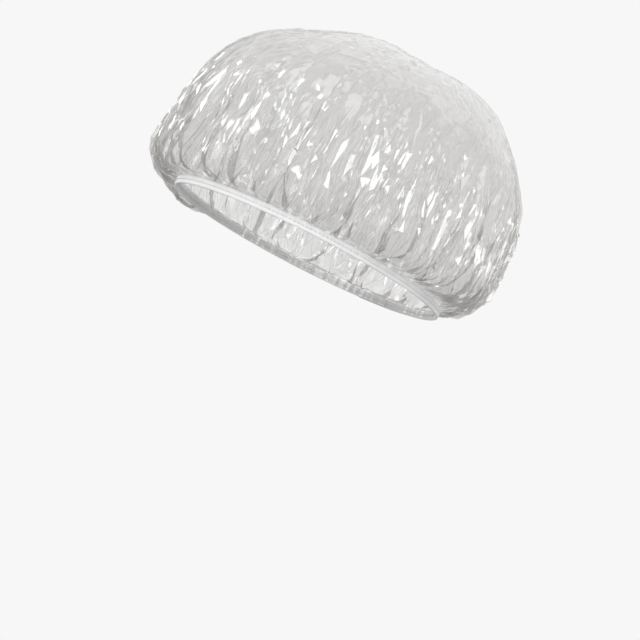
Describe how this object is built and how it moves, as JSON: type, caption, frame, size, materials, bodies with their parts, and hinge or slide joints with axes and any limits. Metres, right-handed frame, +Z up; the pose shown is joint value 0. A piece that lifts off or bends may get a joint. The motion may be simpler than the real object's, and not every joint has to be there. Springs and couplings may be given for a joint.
{
  "type": "shower cap",
  "caption": "Gathered dome of clear plastic film on a lapped, stitched loop of white braided elastic, worn over the hair to keep it dry in the shower.",
  "frame": {"origin": "middle of the rim, in the plane of the band's lower edge, which the cap stands on", "axes": "+Z up from the rim towards the crown, -Y towards the front (forehead), +X towards the wearer's left"},
  "size_m": [0.2118, 0.2262, 0.1284],
  "materials": {
    "film": "gloss",
    "braid": "matte",
    "rubber": "satin",
    "thread": "matte"
  },
  "bodies": {
    "root": {"crown_film": "film", "elastic_band": "braid", "rubber_strand_1": "rubber", "rubber_strand_2": "rubber", "rubber_strand_3": "rubber", "rubber_strand_4": "rubber", "needle_thread": "thread", "bobbin_thread": "thread", "lap_tack": "thread"}
  },
  "joints": []
}
